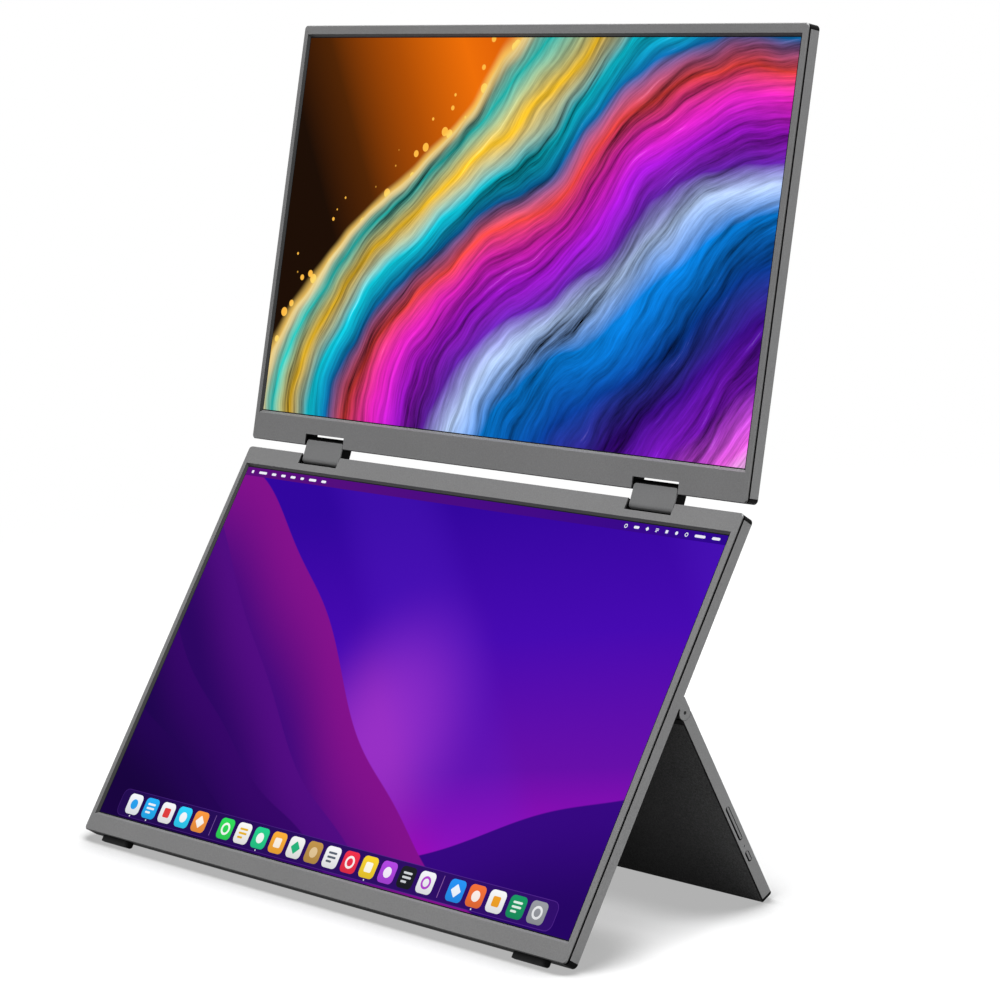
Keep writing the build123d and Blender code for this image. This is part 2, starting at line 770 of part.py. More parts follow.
rocker_axis = half_width - rocker_inset
pin_plane = stand_frame.offset(stand_floor_level)
with BuildPart() as rocker_pin:
    with BuildSketch(pin_plane):
        with Locations((rocker_axis, -rocker_middle)):
            Circle(rocker_pin_radius)
    extrude(amount=stand_inside - stand_floor_level)
save(rocker_pin, "rocker_pin")

key_width = key_recess_width - key_gap - key_inner_gap
key_shift = (key_gap - key_inner_gap) / 2
with BuildPart() as menu_rocker:
    with BuildSketch(side_plane(stand_frame, rocker_axis)):
        with Locations((-rocker_middle, key_shift)):
            SlotOverall(rocker_length - 2 * key_gap, key_width)
    extrude(amount=rocker_inset - key_setback)
    with BuildSketch(side_plane(stand_frame, rocker_axis - rocker_flange / 2)):
        with Locations((-rocker_middle, 0)):
            Rectangle(rocker_flange_length, flange_height)
    extrude(amount=rocker_flange)
    with BuildSketch(stand_frame.offset(-flange_height / 2)):
        with Locations((rocker_axis, -rocker_middle)):
            Rectangle(rocker_boss, rocker_boss)
    extrude(amount=flange_height)
    with BuildSketch(stand_frame.offset(-flange_height / 2)):
        with Locations((rocker_axis, -rocker_middle)):
            Circle(rocker_pin_radius + shaft_fit)
    extrude(amount=flange_height, mode=Mode.SUBTRACT)
save(menu_rocker, "menu_rocker")

flange_face = half_width - stand_wall - power_flange_gap
button_back = half_width - switch_face + power_travel + power_stem_gap
with BuildPart() as power_button:
    with BuildSketch(side_plane(stand_frame, flange_face)):
        with Locations((-power_middle, key_shift)):
            SlotOverall(power_length - 2 * key_gap, key_width)
    extrude(amount=half_width - key_setback - flange_face)
    with BuildSketch(side_plane(stand_frame, flange_face)):
        with Locations((-power_middle, 0)):
            Rectangle(power_flange_length, flange_height)
    extrude(amount=-power_flange)
    with BuildSketch(side_plane(stand_frame, flange_face - power_flange)):
        with Locations((-power_middle, 0)):
            Rectangle(power_stem, power_stem)
    extrude(amount=button_back - flange_face + power_flange)
save(power_button, "power_button")

print("tilts", lower_tilt, link_tilt, upper_tilt, stand_tilt)
frames = {"lower": lower_frame, "upper": upper_frame, "fold axis": link_frame, "stand axis": stand_frame}
for name, frame in frames.items():
    print(name, *frame.origin)
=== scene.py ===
import math
import bpy
import bmesh
from mathutils import Matrix, Vector


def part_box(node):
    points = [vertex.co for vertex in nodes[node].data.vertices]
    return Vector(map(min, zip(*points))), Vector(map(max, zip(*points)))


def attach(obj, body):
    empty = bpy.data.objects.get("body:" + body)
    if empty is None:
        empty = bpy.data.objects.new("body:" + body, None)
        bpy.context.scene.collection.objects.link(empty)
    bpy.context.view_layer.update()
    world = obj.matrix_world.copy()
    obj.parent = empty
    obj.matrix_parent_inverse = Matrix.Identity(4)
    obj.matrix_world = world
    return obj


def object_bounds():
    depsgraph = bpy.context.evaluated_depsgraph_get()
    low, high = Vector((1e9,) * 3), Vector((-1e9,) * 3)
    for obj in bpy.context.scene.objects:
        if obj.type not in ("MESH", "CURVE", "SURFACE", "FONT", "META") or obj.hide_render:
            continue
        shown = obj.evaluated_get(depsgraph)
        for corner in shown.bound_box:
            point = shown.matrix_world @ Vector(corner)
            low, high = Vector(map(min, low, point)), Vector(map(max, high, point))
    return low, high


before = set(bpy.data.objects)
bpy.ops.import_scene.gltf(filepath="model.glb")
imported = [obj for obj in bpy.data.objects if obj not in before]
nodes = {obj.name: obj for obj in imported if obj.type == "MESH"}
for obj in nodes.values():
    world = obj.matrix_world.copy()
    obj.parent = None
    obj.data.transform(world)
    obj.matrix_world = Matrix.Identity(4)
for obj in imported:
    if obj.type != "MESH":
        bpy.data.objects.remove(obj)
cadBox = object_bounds()
scene = bpy.context.scene
print("frame loaded:", len(nodes), "nodes")

# camera, at the place the photograph was taken from
shot = {
    "place": (1.2335, -1.05237, 0.48812),
    "yaw": 48.40,            # degrees to the left of straight back
    "pitch": 11.05,          # degrees downwards
    "roll": -4.04,
    "lens": 125.2,
    "sensor": 36,
}


def aimCamera():
    yaw = math.radians(shot["yaw"])
    pitch = math.radians(shot["pitch"])
    roll = math.radians(shot["roll"])
    ahead = Vector((-math.sin(yaw) * math.cos(pitch), math.cos(yaw) * math.cos(pitch), -math.sin(pitch)))
    level = Vector((math.cos(yaw), math.sin(yaw), 0))
    above = level.cross(ahead)
    side = level * math.cos(roll) + above * math.sin(roll)
    top = above * math.cos(roll) - level * math.sin(roll)
    data = bpy.data.cameras.new("photoCamera")
    data.lens = shot["lens"]
    data.sensor_width = shot["sensor"]
    camera = bpy.data.objects.new("photoCamera", data)
    camera.matrix_world = Matrix((side, top, -ahead)).transposed().to_4x4()
    camera.location = shot["place"]
    scene.collection.objects.link(camera)
    scene.camera = camera


aimCamera()
print("camera placed")


# small helpers for shader trees
def fill(tree, socket, value):
    if isinstance(value, bpy.types.NodeSocket):
        tree.links.new(value, socket)
    else:
        socket.default_value = value


def wire(tree, kind, values=None, **settings):
    node = tree.nodes.new("ShaderNode" + kind)
    for name, value in settings.items():
        setattr(node, name, value)
    for key, value in (values or {}).items():
        fill(tree, node.inputs[key], value)
    return node


def calc(tree, operation, a, b=0.0, clamp=False):
    return wire(tree, "Math", {0: a, 1: b}, operation=operation, use_clamp=clamp).outputs[0]


def centred(tree, value):
    # a noise or a share runs from 0 to 1, so its middle is taken off
    return calc(tree, "SUBTRACT", value, 0.5)


def blendColour(tree, factor, first, second, mode="MIX"):
    values = {0: factor, 6: first, 7: second}          # factor, A and B of a colour mix
    return wire(tree, "Mix", values, data_type="RGBA", blend_type=mode).outputs[2]


def remap(tree, value, low, high, newLow, newHigh, kind="LINEAR"):
    values = {0: value, 1: low, 2: high, 3: newLow, 4: newHigh}
    return wire(tree, "MapRange", values, interpolation_type=kind).outputs[0]


def ramp(tree, value, stops, kind="LINEAR"):
    node = wire(tree, "ValToRGB", {0: value})
    node.color_ramp.interpolation = kind
    marks = node.color_ramp.elements
    while len(marks) < len(stops):
        marks.new(0.5)
    for mark, (place, colour) in zip(marks, stops):
        mark.position = place
        mark.color = (*colour, 1)
    return node.outputs[0]


def ownPlace(tree):
    return wire(tree, "TexCoord").outputs["Object"]


def noise(tree, place, scale, detail, **more):
    values = {"Vector": place, "Scale": scale, "Detail": detail, **more}
    return wire(tree, "TexNoise", values).outputs["Fac"]


def newMaterial(name):
    material = bpy.data.materials.new(name)
    material.use_nodes = True
    return material, material.node_tree, material.node_tree.nodes["Principled BSDF"]


def newGroup(name, inputs, outputs):
    tree = bpy.data.node_groups.new(name, "ShaderNodeTree")
    for label, value in inputs:
        socket = tree.interface.new_socket(name=label, in_out="INPUT", socket_type="NodeSocketFloat")
        socket.default_value = value
    for label in outputs:
        tree.interface.new_socket(name=label, in_out="OUTPUT", socket_type="NodeSocketFloat")
    return tree, tree.nodes.new("NodeGroupInput").outputs, tree.nodes.new("NodeGroupOutput").inputs


def placeGroup(tree, group, values):
    node = tree.nodes.new("ShaderNodeGroup")
    node.node_tree = group
    for key, value in values.items():
        fill(tree, node.inputs[key], value)
    return node.outputs


# shared surface effects; noise scales count cells per metre
effects = {
    "grainDetail": 2.5,
    "cloud": (14.0, 3.0, 0.55),          # scale, detail and roughness of the slow drift in tone
    "cloudShare": 0.5,
    "bevelSamples": 6,
    "wornTurn": (0.02, 0.30),            # turn of the rounded normal where wear starts, and is full
    "wornPolish": 0.12,                  # how much smoother a worn edge is
    "patches": (90.0, 4.0, 0.6),
    "patchEdge": (0.35, 0.65),
    "smudges": (22.0, 5.0, 1.2),         # scale, detail and distortion
    "wipes": (180.0, 2.0),
    "wipeShare": 0.4,
    "shadeSamples": 8,
    "shadeOpen": (0.25, 0.85),           # openness where a gap is darkest, and where its shade ends
}


def makeFineGrain():
    # the tiny even pits of a blasted or moulded surface, with a slow drift in tone
    inputs = [("Size", 0.0003), ("Contrast", 0.1), ("Softness", 0.5)]
    tree, given, made = newGroup("fineGrain", inputs, ["Tone", "Height"])
    place = ownPlace(tree)
    density = calc(tree, "DIVIDE", 1.0, given["Size"])
    pits = noise(tree, place, density, effects["grainDetail"], Roughness=given["Softness"])
    scale, detail, roughness = effects["cloud"]
    cloud = noise(tree, place, scale, detail, Roughness=roughness)
    spread = calc(tree, "MULTIPLY", centred(tree, pits), given["Contrast"])
    slow = centred(tree, cloud)
    drift = calc(tree, "MULTIPLY", slow, calc(tree, "MULTIPLY", given["Contrast"], effects["cloudShare"]))
    tree.links.new(calc(tree, "ADD", 1.0, calc(tree, "ADD", spread, drift)), made["Tone"])
    tree.links.new(pits, made["Height"])
    return tree


def makeWearAndEdgeHighlight():
    # where a corner is rubbed, and a painted highlight along edges: the rounded normal leaves the true one
    # there
    tree, given, made = newGroup("wearAndEdgeHighlight", [("Reach", 0.0004), ("Breakup", 0.5)], ["Mask"])
    soft = wire(tree, "Bevel", {"Radius": given["Reach"]}, samples=effects["bevelSamples"]).outputs[0]
    true = wire(tree, "NewGeometry").outputs["Normal"]
    along = wire(tree, "VectorMath", {0: soft, 1: true}, operation="DOT_PRODUCT").outputs["Value"]
    turn = remap(tree, calc(tree, "SUBTRACT", 1.0, along), *effects["wornTurn"], 0.0, 1.0)
    scale, detail, roughness = effects["patches"]
    patchy = noise(tree, ownPlace(tree), scale, detail, Roughness=roughness)
    least = calc(tree, "SUBTRACT", 1.0, given["Breakup"])
    kept = remap(tree, patchy, *effects["patchEdge"], least, 1.0)
    tree.links.new(calc(tree, "MULTIPLY", turn, kept, clamp=True), made["Mask"])
    return tree


def makeHandling():
    # faint smudges and wiping marks, seen in the gloss only
    tree, given, made = newGroup("handlingMarks", [("Strength", 0.05)], ["Change"])
    place = ownPlace(tree)
    scale, detail, distortion = effects["smudges"]
    broad = noise(tree, place, scale, detail, Distortion=distortion)
    fine = noise(tree, place, *effects["wipes"])
    smudge = centred(tree, broad)
    wipe = calc(tree, "MULTIPLY", centred(tree, fine), effects["wipeShare"])
    both = calc(tree, "ADD", smudge, wipe)
    tree.links.new(calc(tree, "MULTIPLY", both, given["Strength"]), made["Change"])
    return tree


def makePaintedGapShade():
    # painted shade: narrow gaps and inner corners are darkened in the colour, by how closed in a spot is
    tree, given, made = newGroup("paintedGapShadeGroup", [("Reach", 0.002), ("Depth", 0.5)], ["Shade"])
    values = {"Distance": given["Reach"]}
    free = wire(tree, "AmbientOcclusion", values, samples=effects["shadeSamples"]).outputs["AO"]
    low = calc(tree, "SUBTRACT", 1.0, given["Depth"])
    tree.links.new(remap(tree, free, *effects["shadeOpen"], low, 1.0), made["Shade"])
    return tree


fineGrain = makeFineGrain()
wearAndEdgeHighlight = makeWearAndEdgeHighlight()
handlingMarks = makeHandling()
paintedGapShadeGroup = makePaintedGapShade()
print("surface effects made")

# how much a face looks along an axis before it takes the colour given for that side, painted shade for
# most sides, and after
facings = {
    "straight": (0.6, 0.8),
    "inwards": (-0.03, -0.09),           # normal times place, across
    "down": (0.10, -0.05),
}


def surface(name, colour, rough, metal=0.0, grain=(0.0003, 0.12, 0.00001), wearAndHighlight=None, marks=0.05,
            paintedGapShade=(0.002, 0.6), sides=None, paintedShadeRims=None, back=None, paintedShadeBevels=None, **extra):
    # grain is size, contrast and depth; the edge wear is reach, strength and the bare colour of rubbed
    # edges, also a painted highlight along them; the gap shade is reach and depth of painted shade in
    # gaps; then come the colours of faces that look left and right, of all others, of those that look
    # back, and of slanting faces that look inwards or down, all painted shade but the one for faces that
    # look back
    material, tree, shader = newMaterial(name)
    size, contrast, depth = grain
    pits = placeGroup(tree, fineGrain, {"Size": size, "Contrast": contrast})
    toned = blendColour(tree, 1.0, (*colour, 1), pits["Tone"], "MULTIPLY")
    change = placeGroup(tree, handlingMarks, {"Strength": marks})["Change"]
    roughness = calc(tree, "ADD", change, rough)
    # rubbed edges take the bare colour, which also paints a highlight along the edges
    if wearAndHighlight:
        reach, strength, bareAndHighlightColour = wearAndHighlight
        mask = placeGroup(tree, wearAndEdgeHighlight, {"Reach": reach})["Mask"]
        wornAndLit = calc(tree, "MULTIPLY", mask, strength)
        toned = blendColour(tree, wornAndLit, toned, (*bareAndHighlightColour, 1))
        roughness = calc(tree, "SUBTRACT", roughness, calc(tree, "MULTIPLY", wornAndLit, effects["wornPolish"]))
    facing = wire(tree, "SeparateXYZ", {0: wire(tree, "TexCoord").outputs["Normal"]}).outputs
    sideways = remap(tree, calc(tree, "ABSOLUTE", facing["X"]), *facings["straight"], 0.0, 1.0)
    # painted shade: faces that look left or right take the given colour, near black, as the shade of a
    # groove
    if sides:
        toned = blendColour(tree, sideways, toned, (*sides, 1))
    # painted shade: every face that does not look left or right takes the near black, for the shade in the
    # walls of gaps and openings
    if paintedShadeRims:
        toned = blendColour(tree, sideways, (*paintedShadeRims, 1), toned)
    # faces that look back take the given lighter black; the others keep the darker base, painted shade for
    # edges and grooves
    if back:
        grainy = blendColour(tree, 1.0, (*back, 1), pits["Tone"], "MULTIPLY")
        behind = remap(tree, facing["Y"], *facings["straight"], 0.0, 1.0)
        toned = blendColour(tree, behind, toned, grainy)
    # painted shade: slanting faces that look inwards or down are painted near black, as the shade on the
    # window's bevels
    if paintedShadeBevels:
        where = wire(tree, "SeparateXYZ", {0: ownPlace(tree)}).outputs["X"]
        inwards = remap(tree, calc(tree, "MULTIPLY", facing["X"], where), *facings["inwards"], 0.0, 1.0)
        down = remap(tree, facing["Z"], *facings["down"], 0.0, 1.0)
        paintedShadeSlant = calc(tree, "MAXIMUM", inwards, down, clamp=True)
        toned = blendColour(tree, paintedShadeSlant, toned, (*paintedShadeBevels, 1))
    # painted shade in gaps and inner corners, multiplied into the colour
    shade = placeGroup(tree, paintedGapShadeGroup, {"Reach": paintedGapShade[0], "Depth": paintedGapShade[1]})["Shade"]
    toned = blendColour(tree, 1.0, toned, shade, "MULTIPLY")
    tree.links.new(toned, shader.inputs["Base Color"])
    tree.links.new(roughness, shader.inputs["Roughness"])
    shader.inputs["Metallic"].default_value = metal
    bump = wire(tree, "Bump", {"Height": pits["Height"], "Distance": depth, "Strength": 1.0})
    tree.links.new(bump.outputs[0], shader.inputs["Normal"])
    for label, value in extra.items():
        shader.inputs[label.replace("_", " ")].default_value = value
    return material


# white room: the floor and the surround are white to the eye and in reflections, and the floor keeps the
# shadow of the object, with a painted contact shadow near where the object stands
room = {
    "floorSize": 40.0,
    "floorColour": (0.37, 0.37, 0.372, 1),
    "floorLift": 0.50,
    "contactReach": 0.046,
    "contactOpen": (0.62, 0.97),         # openness where the contact shade is full, and where it ends
    "contactSamples": 16,
    "paintedShadowTone": 0.44,
    "fade": (0.40, 1.0),                 # from the middle, where the floor starts to turn white, and is
    "worldStrength": 0.35,
}
lamps = {
    "backSoftbox": {"place": (-0.1, 1.25, 2.17), "aim": (0, 0, 0.1), "side": 0.4, "power": 22},
    "topSoftbox": {"place": (0.1, 0.08, 1.75), "aim": (0, 0, 0.15), "side": 1.2, "power": 44},
    "sideSoftbox": {"place": (2.2, 0.2, 1.1), "aim": (0, 0, 0.2), "side": 1.2, "power": 16},
}


def straightRays(tree):
    # 1 for what the camera sees by itself, in a gloss or through something clear
    ray = wire(tree, "LightPath").outputs
    mirrored = calc(tree, "MAXIMUM", ray["Is Glossy Ray"], ray["Is Transmission Ray"])
    return calc(tree, "MAXIMUM", ray["Is Camera Ray"], mirrored)


def makeFloor():
    half = room["floorSize"] / 2
    corners = [(-half, -half, 0), (half, -half, 0), (half, half, 0), (-half, half, 0)]
    mesh = bpy.data.meshes.new("roomFloor")
    mesh.from_pydata(corners, [], [(0, 1, 2, 3)])
    floor = bpy.data.objects.new("roomFloor", mesh)
    scene.collection.objects.link(floor)
    material, tree, shader = newMaterial("paleFloor")
    tree.nodes.remove(shader)
    matt = wire(tree, "BsdfDiffuse", {"Color": room["floorColour"]}).outputs[0]
    straight = straightRays(tree)
    glow = calc(tree, "MULTIPLY", straight, room["floorLift"])
    lift = wire(tree, "Emission", {"Strength": glow}).outputs[0]
    lit = wire(tree, "AddShader", {0: matt, 1: lift}).outputs[0]
    # a painted contact shadow: where the object is close above, the camera sees the floor mixed towards a
    # dim grey glow
    values = {"Distance": room["contactReach"]}
    free = wire(tree, "AmbientOcclusion", values, samples=room["contactSamples"]).outputs["AO"]
    paintedContactShadow = remap(tree, free, *room["contactOpen"], 1.0, 0.0, "SMOOTHSTEP")
    paintedContactShadowSeen = calc(tree, "MULTIPLY", paintedContactShadow, straight)
    dark = wire(tree, "Emission", {"Strength": room["paintedShadowTone"]}).outputs[0]
    near = wire(tree, "MixShader", {0: paintedContactShadowSeen, 1: lit, 2: dark}).outputs[0]
    far = wire(tree, "VectorMath", {0: ownPlace(tree)}, operation="LENGTH").outputs["Value"]
    fade = remap(tree, far, *room["fade"], 0.0, 1.0, "SMOOTHSTEP")
    white = wire(tree, "Emission", {"Strength": 1.0}).outputs[0]
    faded = calc(tree, "MULTIPLY", fade, straight)
    total = wire(tree, "MixShader", {0: faded, 1: near, 2: white}).outputs[0]
    tree.links.new(total, tree.nodes["Material Output"].inputs["Surface"])
    mesh.materials.append(material)


def makeSurround():
    world = bpy.data.worlds.new("paleRoom")
    scene.world = world
    world.use_nodes = True
    tree = world.node_tree
    sky = tree.nodes["Background"]
    strength = remap(tree, straightRays(tree), 0.0, 1.0, room["worldStrength"], 1.0)
    tree.links.new(strength, sky.inputs["Strength"])
    sky.inputs["Color"].default_value = (1, 1, 1, 1)


def hangLamps():
    for name, look in lamps.items():
        data = bpy.data.lights.new(name, "AREA")
        data.shape = "RECTANGLE"
        data.size = look["side"]
        data.size_y = look["side"]
        data.energy = look["power"]
        lamp = bpy.data.objects.new(name, data)
        lamp.location = look["place"]
        towards = Vector(look["aim"]) - Vector(look["place"])
        lamp.rotation_euler = towards.to_track_quat("-Z", "Y").to_euler()
        lamp.visible_camera = False
        scene.collection.objects.link(lamp)


makeFloor()
makeSurround()
hangLamps()
scene.view_settings.view_transform = "Standard"
print("room and lamps placed")

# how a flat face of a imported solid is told
flatness = {
    "towards": 0.3,          # least share of its normal on the side asked for
    "sameWay": 0.9999,
    "sameLevel": 1e-5,
}


def widestFace(node, towards):
    # middle, up and out of the widest flat face on the side that towards points to
    mesh = nodes[node].data
    found = None
    for face in mesh.polygons:
        looks = face.normal.dot(Vector(towards)) > flatness["towards"]
        if looks and (found is None or face.area > found.area):
            found = face
    out = found.normal.normalized()
    across = Vector((1, 0, 0))
    up = out.cross(across)
    spots = []
    for face in mesh.polygons:
        level = abs((face.center - found.center).dot(out))
        if face.normal.dot(out) > flatness["sameWay"] and level < flatness["sameLevel"]:
            spots.extend(mesh.vertices[index].co.copy() for index in face.vertices)
    sides = [spot.dot(across) for spot in spots]
    heights = [spot.dot(up) for spot in spots]
    middle = across * (min(sides) + max(sides)) / 2 + up * (min(heights) + max(heights)) / 2
    return {
        "middle": middle + out * found.center.dot(out),
        "across": across,
        "up": up,
        "out": out,
        "width": max(sides) - min(sides),
        "height": max(heights) - min(heights),
    }


def settle(name, shape, face, body, material, rise=0.0):
    # a piece drawn in the face's own frame: across, up, out
    mesh = bpy.data.meshes.new(name)
    bmesh.ops.recalc_face_normals(shape, faces=shape.faces)
    shape.to_mesh(mesh)
    shape.free()
    mesh.materials.append(material)
    piece = bpy.data.objects.new(name, mesh)
    axes = Matrix((face["across"], face["up"], face["out"])).transposed()
    place = face["middle"] + axes @ Vector((0, rise, 0))
    piece.matrix_world = Matrix.Translation(place) @ axes.to_4x4()
    scene.collection.objects.link(piece)
    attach(piece, body)


def joinRings(shape, rings):
    for lower, upper in zip(rings, rings[1:]):
        count = len(lower)
        for index in range(count):
            after = (index + 1) % count
            shape.faces.new((lower[index], lower[after], upper[after], upper[index]))


def roundedPlate(shape, middle, size, corner, low, high, edge=0.0, steps=4, turn=0.0):
    # a closed plate with rounded corners, and a bevelled upper rim where edge is given
    levels = [(low, 0.0), (high, 0.0)]
    if edge:
        levels = [(low, 0.0), (high - edge, 0.0), (high, edge)]
    lean = Matrix.Rotation(math.radians(turn), 2)
    rings = []
    for height, inset in levels:
        radius = max(corner - inset, 1e-6)          # never quite a point
        ring = []
        for quarter, (sx, sy) in enumerate(((1, 1), (-1, 1), (-1, -1), (1, -1))):
            cx = sx * (size[0] / 2 - corner)
            cy = sy * (size[1] / 2 - corner)
            for step in range(steps + 1):
                angle = math.radians(90) * (quarter + step / steps)
                spot = lean @ Vector((cx + radius * math.cos(angle), cy + radius * math.sin(angle)))
                ring.append(shape.verts.new((middle[0] + spot.x, middle[1] + spot.y, height)))
        rings.append(ring)
    shape.faces.new(list(reversed(rings[0])))
    shape.faces.new(rings[-1])
    joinRings(shape, rings)


def ringPlate(shape, middle, outer, inner, low, high, steps=20):
    # a flat closed ring
    rings = []
    for radius, height in ((outer, low), (outer, high), (inner, high), (inner, low)):
        ring = []
        for step in range(steps):
            angle = 2 * math.pi * step / steps
            spot = (middle[0] + radius * math.cos(angle), middle[1] + radius * math.sin(angle), height)
            ring.append(shape.verts.new(spot))
        rings.append(ring)
    joinRings(shape, rings + rings[:1])


# screens
screen = {
    "pictureWidth": 0.3434,
    "pictureHeight": 0.1930,
    "corner": 0.0004,
    "layer": 0.00005,        # thickness of the picture, and of each thing drawn on it
    "glow": 1.0,
    "unlit": (0.001, 0.001, 0.0012, 1),
    "gloss": 0.34,
    "marks": 0.06,
    "mirror": 0.0,
}


def glowSurface(tree, shader, colour):
    # a lit panel behind a matt anti-glare face
    tree.links.new(colour, shader.inputs["Emission Color"])
    shader.inputs["Emission Strength"].default_value = screen["glow"]
    shader.inputs["Base Color"].default_value = screen["unlit"]
    change = placeGroup(tree, handlingMarks, {"Strength": screen["marks"]})["Change"]
    tree.links.new(calc(tree, "ADD", change, screen["gloss"]), shader.inputs["Roughness"])
    shader.inputs["Specular IOR Level"].default_value = screen["mirror"]


def pictureMaterial(name, paint):
    # u and v run from 0 to 1 over the picture, from its lower left corner
    material, tree, shader = newMaterial(name)
    spot = wire(tree, "SeparateXYZ", {0: ownPlace(tree)}).outputs
    u = calc(tree, "ADD", calc(tree, "DIVIDE", spot["X"], screen["pictureWidth"]), 0.5)
    v = calc(tree, "ADD", calc(tree, "DIVIDE", spot["Y"], screen["pictureHeight"]), 0.5)
    glowSurface(tree, shader, paint(tree, u, v))
    return material


# upper picture: lengths count picture heights
ribbonArt = {
    "aspect": 1.78,
    "sweepX": 2.30,                      # the ribbons bend round a point this far right
    "sweepY": 0.75,                      # and below the picture's lower left corner
    "sway": (1.1, 0.5, 0.55),            # scale, detail and swing of the broad waves
    "ripple": (3.4, 2.0, 0.09),
    "fan": (0.35, 0.34),                 # the ribbons spread out towards the upper right
    "span": (0.85, 2.46),
    "colours": [
        (0.00, (0.22, 0.01, 0.48)), (0.08, (0.62, 0.07, 0.84)), (0.15, (0.99, 0.78, 0.98)),
        (0.21, (0.90, 0.13, 0.84)), (0.29, (0.22, 0.01, 0.56)), (0.37, (0.05, 0.004, 0.28)),
        (0.43, (0.003, 0.05, 0.34)), (0.50, (0.002, 0.25, 0.84)), (0.55, (0.50, 0.66, 0.99)),
        (0.59, (0.16, 0.02, 0.50)), (0.64, (0.42, 0.01, 0.72)), (0.70, (0.80, 0.02, 0.50)),
        (0.75, (0.98, 0.07, 0.06)), (0.80, (0.004, 0.13, 0.40)), (0.85, (0.004, 0.58, 0.70)),
        (0.90, (0.98, 0.55, 0.004)), (0.945, (0.01, 0.55, 0.50)), (1.00, (0.98, 0.36, 0.004)),
    ],
    "strandStretch": (26.0, 2.2),        # across and along the ribbons
    "strand": (1.6, 8.0, 0.7),           # scale, detail and roughness
    "strandTone": (0.30, 0.70, 0.16, 1.30),
    "fold": (27.0, 0.24),
    "gleam": (0.62, 0.78, 0.0, 0.35),
    "gleamColour": (0.9, 0.60, 0.95, 1),
    "skySlope": (1.6, 0.8, 0.55),
    "sky": [
        (0.0, (0.012, 0.004, 0.001)), (0.18, (0.08, 0.018, 0.001)), (0.42, (0.42, 0.075, 0.001)),
        (0.66, (0.86, 0.16, 0.002)), (1.0, (0.55, 0.06, 0.001)),
    ],
    "shore": 2.42,                       # where the sky starts
    "shoreBlur": (-0.004, 0.006),
    "rim": (0.030, 0.75),
    "rimColour": (1.0, 0.62, 0.14, 1),
    "dropScale": 22.0,
    "dropReach": (0.02, 0.16, 0.30),     # nearest, furthest and largest of the drops
    "dropBlur": 0.03,
    "dropColour": (1.0, 0.50, 0.06, 1),
}


def length(tree, a, b):
    aa = calc(tree, "MULTIPLY", a, a)
    bb = calc(tree, "MULTIPLY", b, b)
    return calc(tree, "SQRT", calc(tree, "ADD", aa, bb))


def flowingBands(tree, u, v):
    # broad ribbons that sweep up from the lower left, with fine strands along them, under a warm dark sky
    art = ribbonArt
    x = calc(tree, "MULTIPLY", u, art["aspect"])
    spot = wire(tree, "CombineXYZ", {0: x, 1: v}).outputs[0]
    broad = noise(tree, spot, *art["sway"][:2])
    small = noise(tree, spot, *art["ripple"][:2])
    dx = calc(tree, "SUBTRACT", art["sweepX"], x)
    dy = calc(tree, "ADD", v, art["sweepY"])
    reach = length(tree, dx, dy)
    turn = calc(tree, "ARCTAN2", dy, dx)
    sway = calc(tree, "MULTIPLY", centred(tree, broad), art["sway"][2])
    ripple = calc(tree, "MULTIPLY", centred(tree, small), art["ripple"][2])
    radius = calc(tree, "ADD", calc(tree, "ADD", reach, sway), ripple)
    fanFrom, fanWidth = art["fan"]
    spread = calc(tree, "MULTIPLY", calc(tree, "SUBTRACT", turn, fanFrom), fanWidth)
    flow = remap(tree, calc(tree, "ADD", radius, spread), *art["span"], 0.0, 1.0)
    paint = ramp(tree, flow, art["colours"])
    across, onward = art["strandStretch"]
    across = calc(tree, "MULTIPLY", radius, across)
    onward = calc(tree, "MULTIPLY", turn, onward)
    along = wire(tree, "CombineXYZ", {0: across, 1: onward}).outputs[0]
    scale, detail, roughness = art["strand"]
    strands = noise(tree, along, scale, detail, Roughness=roughness)
    pitch, depth = art["fold"]
    fold = calc(tree, "MULTIPLY", calc(tree, "SINE", calc(tree, "MULTIPLY", radius, pitch)), depth)
    shade = calc(tree, "ADD", remap(tree, strands, *art["strandTone"]), fold)
    paint = blendColour(tree, 1.0, paint, shade, "MULTIPLY")
    gleam = remap(tree, strands, *art["gleam"], "SMOOTHSTEP")
    paint = blendColour(tree, gleam, paint, art["gleamColour"], "SCREEN")
    sideways, horizon, upwards = art["skySlope"]
    warm = calc(tree, "MULTIPLY", u, sideways)
    high = calc(tree, "MULTIPLY", calc(tree, "SUBTRACT", v, horizon), upwards)
    sky = ramp(tree, calc(tree, "ADD", warm, high), art["sky"])
    edge = calc(tree, "SUBTRACT", calc(tree, "ADD", radius, spread), art["shore"])
    beyond = remap(tree, edge, *art["shoreBlur"], 0.0, 1.0, "SMOOTHSTEP")
    rimWidth, rimStrength = art["rim"]
    rim = remap(tree, calc(tree, "ABSOLUTE", edge), 0.0, rimWidth, rimStrength, 0.0, "SMOOTHSTEP")
    paint = blendColour(tree, beyond, paint, sky)
    # bright drops thrown off the outermost ribbon
    values = {"Vector": spot, "Scale": art["dropScale"], "Randomness": 1.0}
    cells = wire(tree, "TexVoronoi", values).outputs["Distance"]
    near = remap(tree, edge, *art["dropReach"], 0.0)
    drops = remap(tree, calc(tree, "SUBTRACT", near, cells), 0.0, art["dropBlur"], 0.0, 1.0, "SMOOTHSTEP")
    drops = calc(tree, "MULTIPLY", drops, beyond)
    paint = blendColour(tree, drops, paint, art["dropColour"])
    return blendColour(tree, rim, paint, art["rimColour"], "SCREEN")


